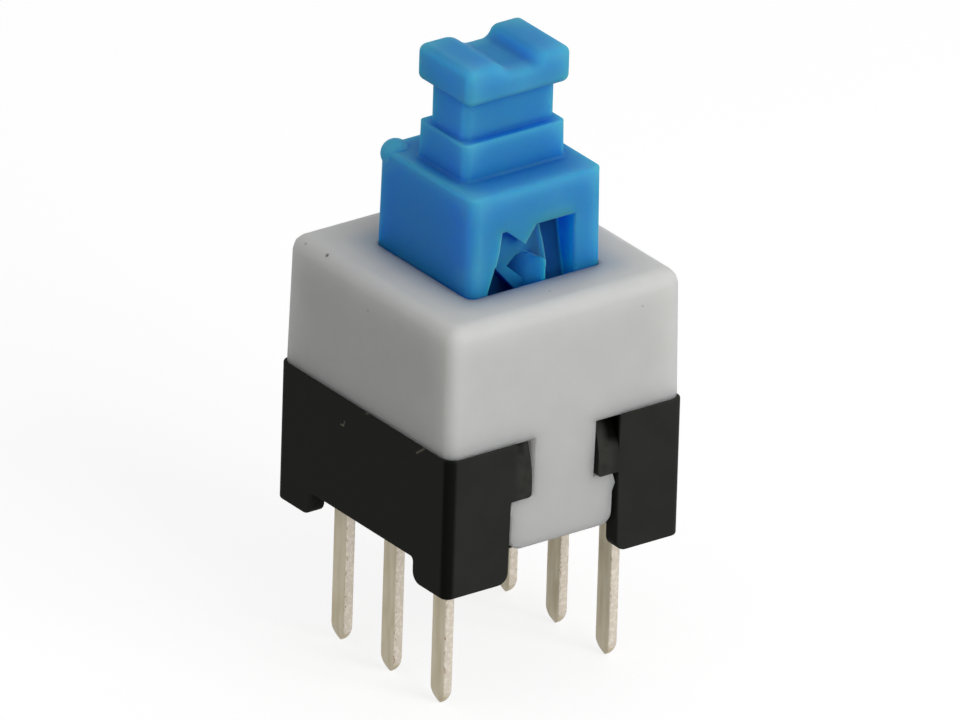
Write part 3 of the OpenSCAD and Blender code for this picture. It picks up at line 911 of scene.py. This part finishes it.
# %% Plunger block and stem
flange_z = 7.22
flange_top = 7.77
flange_half = 2.75
flange_inset = 0.03
flange_lap = 0.42
skirt_half = 2.33
block_z = 11.75
block_draft = 0.05
block_upright_radius = 0.34
block_top_radius = 0.14
collar_z = 12.93
collar_half = (1.85, 1.23)
collar_draft = 0.02
collar_top_radius = 0.1
stem_upright_radius = 0.26
neck_z = 14.17
neck_half = (1.65, 0.9)
head_half = (1.87, 1.32)
head_radius = 0.26
head_end_radius = 0.24
groove_depth = 0.37
groove_left = (-0.95, -0.06)
groove_right = (0.99, 0.4)
head_z = plunger_high.z
front_y = axis_y - plunger_half
back_y = axis_y + plunger_half


def shrunk(half, by):
    return (half[0] - by, half[1] - by)


def flank(start, end, steps=6):
    """Two equal arcs that lead from the groove's rim at x = start down to its floor at x = end."""
    side = 1 if end > start else -1
    width = abs(end - start)
    radius = (width**2 + groove_depth**2) / (4 * groove_depth)
    bend = 2 * math.degrees(math.atan2(groove_depth, width))
    rim = arc((0, head_z - radius), radius, 90, 90 - bend, steps)
    foot = arc((width, head_z - groove_depth + radius), radius, 270 - bend, 270, steps)
    return [(start + side * u, v) for u, v in rim + foot[1:]]


def drawn_in(outline, by):
    """The outline with every point moved inwards, square to the line through its neighbours."""
    moved = []
    for i, (u, v) in enumerate(outline):
        before, after = outline[i - 1], outline[(i + 1) % len(outline)]
        along = Vector((after[0] - before[0], after[1] - before[1])).normalized()
        moved.append((u - by * along.y, v + by * along.x))
    return moved


def quarter_round(radius, steps):
    """Inset and depth along a rounded edge, from the end face round to the side."""
    turns = [math.pi / 2 * i / steps for i in range(steps + 1)]
    return [(radius * (1 - math.sin(a)), radius * (1 - math.cos(a))) for a in turns]


def lofted(outline, start, end, radius, steps=6):
    """An outline in x and z pushed along y, with both ends rounded."""
    ends = quarter_round(radius, steps)
    levels = [(start + depth, inset) for inset, depth in ends]
    levels += [(end - depth, inset) for inset, depth in reversed(ends)]
    return stacked([[(u, y, v) for u, v in drawn_in(outline, inset)] for y, inset in levels])


def soft_block(low_half, top_half, low_z, top_z, upright, top):
    """A tapered block with rounded upright edges and top edges."""

    def radius_of(middle, direction, turn):
        if stands(direction):
            return upright
        return top if middle.z > (low_z + top_z) / 2 else 0.0

    return rounded(tapered(low_half, top_half, low_z, top_z, axis_y), radius_of, segments=6)


square = (plunger_half, plunger_half)
block_top = shrunk(square, block_draft)
block = soft_block(square, block_top, flange_z, block_z, block_upright_radius, block_top_radius)
skirt = slab((-skirt_half, front_y + NEAR, plunger_low.z), (skirt_half, back_y - NEAR, flange_z + BITE))
flange = slab(
    (-flange_half, front_y + flange_inset, flange_z + NEAR), (flange_half, back_y + flange_lap, flange_top)
)
collar_top = shrunk(collar_half, collar_draft)
collar = soft_block(
    collar_half, collar_top, block_z - BITE, collar_z, stem_upright_radius, collar_top_radius
)
neck = soft_block(neck_half, neck_half, collar_z - BITE, neck_z + BITE, stem_upright_radius, 0.0)


def head_corner(side, z, start):
    """One rounded corner of the head seen from the front, from an angle of start degrees."""
    return arc((side * (head_half[0] - head_radius), z), head_radius, start, start + 90, steps=6)


head_line = head_corner(-1, neck_z + head_radius, 180) + head_corner(1, neck_z + head_radius, 270)
head_line += head_corner(1, head_z - head_radius, 0)
head_line += flank(*groove_right) + flank(*groove_left)[::-1]
head_line += head_corner(-1, head_z - head_radius, 90)
head = lofted(head_line, axis_y - head_half[1], axis_y + head_half[1], head_end_radius)
body_form = combined(block, [skirt, flange, collar, neck, head], "UNION")
print("plunger before the cam", len(body_form.polygons), "faces")

# %% Cam pockets
cam_top = 10.48
tip_z = 7.47
home_z = tip_z - 0.45
wide_z = tip_z + 0.8
hidden_z = 8.15
tooth_tip = (-0.42, 9.92)
floor_depth = 0.42
lane_depth = 0.95
lane_left, lane_right = 0.29, 1.34
lane_edge = 0.13
pocket_x = -1.26
entry_x = -1.75
heart_right = 0.36
heart_top = 9.2
crest_high = (-1.3, 9.25)
crest_low = (-0.35, 8.17)
ramp_edge = -0.23
ramp_left = -0.81
# Where a sloping floor starts and ends, as x, z and depth
lane_start = (lane_right, 8.5, 0.5)
lane_end = (lane_right, cam_top, lane_depth)
ramp_start = (ramp_left, heart_top, 0.8)
ramp_end = (heart_right, heart_top, 0.03)
lip = 0.02


def even(depth):
    """The same depth all over a pocket's floor."""
    return lambda x, z: depth


def sloping(start, end):
    """A depth that changes evenly between two points, each given as x, z and depth."""
    run = Vector(end[:2]) - Vector(start[:2])

    def depth_at(x, z):
        share = (Vector((x, z)) - Vector(start[:2])).dot(run) / run.length_squared
        return start[2] + share * (end[2] - start[2])

    return depth_at


def pocket(outline, depth_at):
    """A cut from in front of the block's face down to a level or sloping floor."""
    mouth = [(x, front_y - CLEAR, z) for x, z in outline]
    return stacked([mouth, [(x, front_y + depth_at(x, z), z) for x, z in outline]])


def flared(outline, depth_at, radius, steps=4):
    """A pocket whose right edge is rounded over into the block's face."""
    levels = [(-CLEAR, radius)] + [(lip + depth, flare) for flare, depth in quarter_round(radius, steps)]
    rings = []
    for depth, flare in levels:
        rings.append([(x + flare * (x > lane_right - NEAR), front_y + depth, z) for x, z in outline])
    return stacked(rings + [[(x, front_y + depth_at(x, z), z) for x, z in outline]])


return_lane = [
    (lane_left, cam_top),
    (lane_right, cam_top),
    (lane_right, hidden_z),
    (heart_right, hidden_z),
    (heart_right, heart_top - 0.2),
    (heart_right + 0.26, heart_top - 0.2),
    (heart_right + 0.14, heart_top + 0.4),
    (lane_left + 0.1, cam_top - 0.48),
]
lane_foot = [
    (lane_right, hidden_z + 0.1),
    (heart_right, hidden_z + 0.1),
    (heart_right, home_z + 0.25),
    (lane_right, wide_z - 0.2),
]
latch_pocket = [
    (pocket_x, cam_top),
    (pocket_x + 0.16, cam_top),
    tooth_tip,
    (-0.02, cam_top),
    (lane_left + 0.05, cam_top),
    (lane_left + 0.5, cam_top - 0.35),
    (lane_left + 0.5, heart_top - 0.25),
    (heart_right + 0.01, heart_top - 0.25),
    (heart_right + 0.01, heart_top),
    (0.0, heart_top + 0.25),
    (ramp_edge + 0.005, heart_top + 0.2),
    (ramp_edge + 0.005, hidden_z),
    crest_low,
    crest_high,
    (pocket_x - 0.22, 9.35),
    (pocket_x - 0.08, 9.89),
]
heart_ramp = [
    (ramp_left, 9.16),
    (ramp_edge, 8.64),
    (ramp_edge, hidden_z - 0.05),
    (heart_right + 0.02, hidden_z - 0.05),
    (heart_right + 0.02, heart_top + 0.01),
    (0.0, heart_top + 0.23),
    (ramp_edge, heart_top + 0.3),
    (-0.5, heart_top + 0.24),
]
entry_lane = [
    (pocket_x - 0.24, 9.42),
    (crest_high[0] + 0.01, crest_high[1] + 0.02),
    (crest_low[0] + 0.01, crest_low[1] + 0.02),
    (-0.1, hidden_z + 0.05),
    (-0.1, home_z),
    (-0.75, home_z),
    (entry_x, wide_z),
    (entry_x, 8.66),
]
home_pocket = [
    (-0.15, hidden_z + 0.02),
    (heart_right + BITE, hidden_z - 0.02),
    (heart_right + BITE, home_z + 0.2),
    (0.15, home_z),
    (-0.15, home_z),
]
pockets = [
    flared(return_lane, sloping(lane_start, lane_end), lane_edge),
    pocket(lane_foot, even(lane_depth)),
    pocket(latch_pocket, even(floor_depth)),
    pocket(heart_ramp, sloping(ramp_start, ramp_end)),
    pocket(entry_lane, even(lane_depth)),
    pocket(home_pocket, even(lane_depth)),
]
bore_radius = 1.15
bore = round_bar((0, axis_y), bore_radius, "z", plunger_low.z - BITE, spring_high.z)
body_form = combined(body_form, pockets + [bore], "DIFFERENCE")
print("cam", len(pockets), "pockets")

# %% Round the plunger's edges and add the bead
level_run = 0.1
stem_fillets = ((block_z, 0.1), (collar_z, 0.05))
cam_edge_radius = 0.04
cam_edge_depth = 0.06
cam_margin = 0.4


def plunger_radius(middle, direction, turn):
    """Radius for the edges that joining and cutting left sharp."""
    on_stem = abs(direction.z) < level_run and abs(middle.y - axis_y) < collar_half[1] + BITE
    if turn < -CREASE_TURN and on_stem:
        for height, radius in stem_fillets:
            if abs(middle.z - height) < NEAR:
                return radius
    if turn < CREASE_TURN:
        return 0.0
    in_cam = middle.y < front_y + cam_edge_depth and flange_top < middle.z < cam_top + BITE
    return cam_edge_radius if in_cam and abs(middle.x) < plunger_half - cam_margin else 0.0


bead_radius = 0.45
bead_rise = 0.225
bead_inset = 0.37
bead_half = plunger_half - block_draft - bead_inset
bead_form = bmesh.new()
bead_place = Matrix.Translation((-bead_half, axis_y + bead_half, block_z + bead_rise - bead_radius))
bmesh.ops.create_uvsphere(bead_form, u_segments=32, v_segments=20, radius=bead_radius, matrix=bead_place)
body_form = combined(body_form, [mesh_of(bead_form)], "UNION")
body_form = rounded(body_form, plunger_radius, segments=3)
dressed("plunger_moulding", body_form, blue, "plunger", "blue_moulding", "plunger")

# %% [markdown]
# ## The pins
#
# Each terminal is stamped from flat metal, so its edges are only just broken. The CAD solid has the
# right shape already; a copy of it is merged, its flat faces are joined up, and every sharp edge gets a
# small bevel that catches the light. The last half millimetre is thinned, because the tips are coined to
# a point so that they find the holes of the board.

# %% Soft-edged copies of the terminals
TERMINALS = [
    side + "_" + kind
    for side in ("left", "right")
    for kind in ("normally_open", "common", "normally_closed")
]


def softened(node, radius):
    """A copy of a CAD node in millimetres, with its sharp outer edges rounded."""
    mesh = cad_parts[node].data.copy()
    mesh.transform(Matrix.Scale(1 / MM, 4))

    def sharp_edge(middle, direction, turn):
        return radius if turn > CREASE_TURN else 0.0

    return rounded(mesh, sharp_edge, segments=3)


PIN_EDGE_RADIUS = 0.045
POINT_LENGTH = 0.5
POINT_THINNING = 0.75


def pointed(mesh, middle_x, steps=5):
    """The pin with its lower end thinned towards the tip."""
    form = bmesh.new()
    form.from_mesh(mesh)
    low = min(vert.co.z for vert in form.verts)
    for i in range(1, steps + 1):
        whole = form.verts[:] + form.edges[:] + form.faces[:]
        level = (0, 0, low + POINT_LENGTH * i / steps)
        bmesh.ops.bisect_plane(form, geom=whole, dist=0.0001, plane_co=level, plane_no=(0, 0, 1))
    for vert in form.verts:
        share = max(0.0, 1 - (vert.co.z - low) / POINT_LENGTH)
        vert.co.x = middle_x + (vert.co.x - middle_x) * (1 - POINT_THINNING * share**2)
    return mesh_of(form)


for node in TERMINALS:
    row_x = PIN_ROW if node.startswith("right") else -PIN_ROW
    pin = pointed(softened(node, PIN_EDGE_RADIUS), row_x)
    dressed(node + "_pin", pin, tin, "body", "tinned_brass", node)

# %% [markdown]
# ## The return spring
#
# A coil follows a path, so Geometry Nodes make it: a spiral curve, whose height is bent so that the end
# turns lie flat, with a circle swept along it. The result is turned into a plain mesh.

# %% A Geometry Nodes tree for a coil


def new_tree(name, inputs):
    """An empty geometry tree with a geometry output and named number inputs."""
    tree = bpy.data.node_groups.new(name, "GeometryNodeTree")
    tree.interface.new_socket("Geometry", in_out="OUTPUT", socket_type="NodeSocketGeometry")
    tree.interface.new_socket("Geometry", in_out="INPUT", socket_type="NodeSocketGeometry")
    for label in inputs:
        tree.interface.new_socket(label, in_out="INPUT", socket_type="NodeSocketFloat")
    return tree


def tree_result(piece, tree, sizes):
    """Runs the tree on a piece with these sizes and returns the plain mesh."""
    modifier = piece.modifiers.new(tree.name, "NODES")
    modifier.node_group = tree
    for item in tree.interface.items_tree:
        if item.in_out == "INPUT" and item.name in sizes:
            modifier[item.identifier] = float(sizes[item.name])
    return evaluated(piece)


def coil_tree(material):
    tree = new_tree("coil", ("Radius", "Wire", "Turns", "Length"))
    graph = Graph(tree)
    inputs = tree.nodes.new("NodeGroupInput").outputs
    radius, wire, turns, length = (Value(graph, inputs[n]) for n in ("Radius", "Wire", "Turns", "Length"))
    level_coil = {"Resolution": 48, "Rotations": turns, "Height": 0.0}
    level_coil["Start Radius"] = radius
    level_coil["End Radius"] = radius
    spiral = graph.add("GeometryNodeCurveSpiral", None, level_coil)
    turned = graph.add("GeometryNodeSplineParameter") * turns

    def rise(start, end, height):
        limits = {"Value": turned, "From Min": start, "From Max": end, "To Min": 0.0, "To Max": height}
        return graph.add("ShaderNodeMapRange", None, limits)

    height = rise(0.0, 1.0, wire) + rise(1.0, turns - 1, length - wire * 3) + rise(turns - 1, turns, wire)
    lift = graph.add("ShaderNodeCombineXYZ", None, {"Z": height + wire * 0.5})
    path = graph.add("GeometryNodeSetPosition", None, {"Geometry": spiral, "Offset": lift})
    section = graph.add("GeometryNodeCurvePrimitiveCircle", None, {"Resolution": 12, "Radius": wire * 0.5})
    sweep = {"Curve": path, "Profile Curve": section, "Fill Caps": True}
    wire_mesh = graph.add("GeometryNodeCurveToMesh", None, sweep)
    smooth = graph.add("GeometryNodeSetShadeSmooth", None, {0: wire_mesh})
    solid = graph.add("GeometryNodeRealizeInstances", None, {0: smooth})
    coated = graph.add("GeometryNodeSetMaterial", None, {"Geometry": solid, "Material": material})
    output = tree.nodes.new("NodeGroupOutput")
    tree.links.new(coated.socket, output.inputs[0])
    return tree


# %% Spring
spring_wire = 0.24
spring_turns = 9
spring_length = spring_high.z - spring_low.z
coil_sizes = {
    "Radius": (spring_high.x - spring_low.x - spring_wire) / 2,
    "Wire": spring_wire,
    "Turns": spring_turns,
    "Length": spring_length,
}
coil_mesh = tree_result(placed("coil", bpy.data.meshes.new("coil")), coil_tree(steel), coil_sizes)
coil_mesh.transform(Matrix.Translation((0, axis_y, spring_low.z)))
spring = dressed("return_coil", coil_mesh, steel, "body", "spring_steel", "return_spring")
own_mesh(spring)

# %% [markdown]
# ## The small metal parts inside
#
# The lock pin, its leaf and the two contact clips are hidden once the switch is closed. Their CAD solids
# could be rebuilt with softer edges too, but nobody would see it, so they stay and only get their metal.

# %% Finishes of the CAD nodes that stay
for node, material in (
    ("lock_pin", steel),
    ("lock_pin_spring", steel),
    ("left_moving_contact", bronze),
    ("right_moving_contact", bronze),
):
    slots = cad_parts[node].data.materials
    slots.clear()
    slots.append(material)
    print(node, "in", material.name)

# %% [markdown]
# ## Camera
#
# The switch was photographed from a little above, with its front turned to the right, through a long
# lens: upright edges stay nearly parallel. The camera stands almost a metre off with a lens to match,
# and is rolled by a small angle, as the picture is.

# %% Camera
IMAGE_WIDTH, IMAGE_HEIGHT = 960, 720
PIXELS_PER_MM = 34.079
ORIGIN_PIXEL = (477.5, 515.59)
CAMERA_DISTANCE = 950.0
turn_round = math.radians(-36.639)
rise_up = math.radians(25.446)
roll = math.radians(1.783)

reach_out = math.cos(rise_up)
back = Vector((math.sin(turn_round) * reach_out, -math.cos(turn_round) * reach_out, math.sin(rise_up)))
level = Vector((math.cos(turn_round), math.sin(turn_round), 0))
upward = back.cross(level)
right = math.cos(roll) * level + math.sin(roll) * upward
above = math.cos(roll) * upward - math.sin(roll) * level
shift_right = (IMAGE_WIDTH / 2 - ORIGIN_PIXEL[0]) / PIXELS_PER_MM
shift_up = (ORIGIN_PIXEL[1] - IMAGE_HEIGHT / 2) / PIXELS_PER_MM
middle_depth = back.dot(cad_box[0] + cad_box[1]) / 2 / MM
spot_mm = right * shift_right + above * shift_up + back * (CAMERA_DISTANCE + middle_depth)
lens = bpy.data.cameras.new("camera")
lens.sensor_width = 36
lens.lens = PIXELS_PER_MM * CAMERA_DISTANCE * lens.sensor_width / IMAGE_WIDTH
lens.clip_start = 0.01
lens.clip_end = 10
camera = placed("camera", lens)
camera.matrix_world = Matrix.Translation(spot_mm * MM) @ Matrix((right, above, back)).transposed().to_4x4()
bpy.context.scene.camera = camera
print("lens", round(lens.lens), "mm")

# %% [markdown]
# ## Light, floor and background
#
# One large softbox stands in front, a little to the right and not far above the switch, so the front is
# brightest and the left side falls into soft shade. The world fills in from all round. The background
# and the floor are white to the camera and in reflections, by the Light Path node, while the floor
# stays a plain surface for the light itself, so that the shadow of the switch still falls on it.

# %% Softbox and world
KEY_DIRECTION = Vector((0.12, -0.85, 0.41)).normalized()
KEY_DISTANCE = 0.2
KEY_SIZE = 0.14
KEY_LEVEL = 0.6
FILL_LEVEL = 0.5

key_light = bpy.data.lights.new("softbox", "AREA")
key_light.size = KEY_SIZE
key_light.energy = KEY_LEVEL * (math.pi * KEY_DISTANCE) ** 2
key = placed("softbox", key_light)
middle = (cad_box[0] + cad_box[1]) / 2
key.matrix_world = Matrix.Translation(middle + KEY_DIRECTION * KEY_DISTANCE) @ (
    KEY_DIRECTION.to_track_quat("Z", "Y").to_matrix().to_4x4()
)
print("softbox", round(key_light.energy, 3), "W")


def seen_directly(graph):
    """1 for camera rays and for the rays that metal and glass send on, 0 for light falling on things."""
    path = graph.tree.nodes.new("ShaderNodeLightPath").outputs
    camera_ray, glossy_ray, clear_ray = (
        Value(graph, path[name]) for name in ("Is Camera Ray", "Is Glossy Ray", "Is Transmission Ray")
    )
    return (camera_ray + glossy_ray + clear_ray) > 0.5


world = bpy.data.worlds.new("studio")
bpy.context.scene.world = world
world.use_nodes = True
sky = Graph(world.node_tree)
sky_light = world.node_tree.nodes["Background"]
sky_light.inputs["Color"].default_value = (1, 1, 1, 1)
strength = sky.ramp(seen_directly(sky), 0.0, 1.0, FILL_LEVEL, 1.0)
world.node_tree.links.new(strength.socket, sky_light.inputs["Strength"])

# %% Floor
FLOOR_SIZE = 3.0
FLOOR_TONE = 0.35
FLOOR_WHITE = 0.76
floor_z = cad_box[0].z
floor_mesh = bpy.data.meshes.new("floor")
floor_mesh.from_pydata(
    [(x * FLOOR_SIZE, y * FLOOR_SIZE, floor_z) for x, y in ((-1, -1), (1, -1), (1, 1), (-1, 1))],
    [],
    [(0, 1, 2, 3)],
)
floor = placed("floor", floor_mesh)
floor_finish = bpy.data.materials.new("floor")
floor_finish.use_nodes = True
floor_graph = Graph(floor_finish.node_tree)
floor_finish.node_tree.nodes.remove(floor_finish.node_tree.nodes["Principled BSDF"])
matt = floor_graph.add("ShaderNodeBsdfDiffuse", None, {"Color": (FLOOR_TONE, FLOOR_TONE, FLOOR_TONE, 1)})
shine = floor_graph.add("ShaderNodeEmission", None, {"Strength": seen_directly(floor_graph) * FLOOR_WHITE})
both = floor_graph.add("ShaderNodeAddShader", None, {0: matt, 1: shine})
floor_output = floor_finish.node_tree.nodes["Material Output"]
floor_finish.node_tree.links.new(both.socket, floor_output.inputs["Surface"])
floor_mesh.materials.append(floor_finish)
print("floor at z =", round(floor_z, 5))

# %% [markdown]
# ## Finish
#
# The Standard view shows a colour as it is written. No rounding or detail may stand outside the real
# size.

# %% Finish
bpy.context.scene.view_settings.view_transform = "Standard"
bpy.context.view_layer.update()
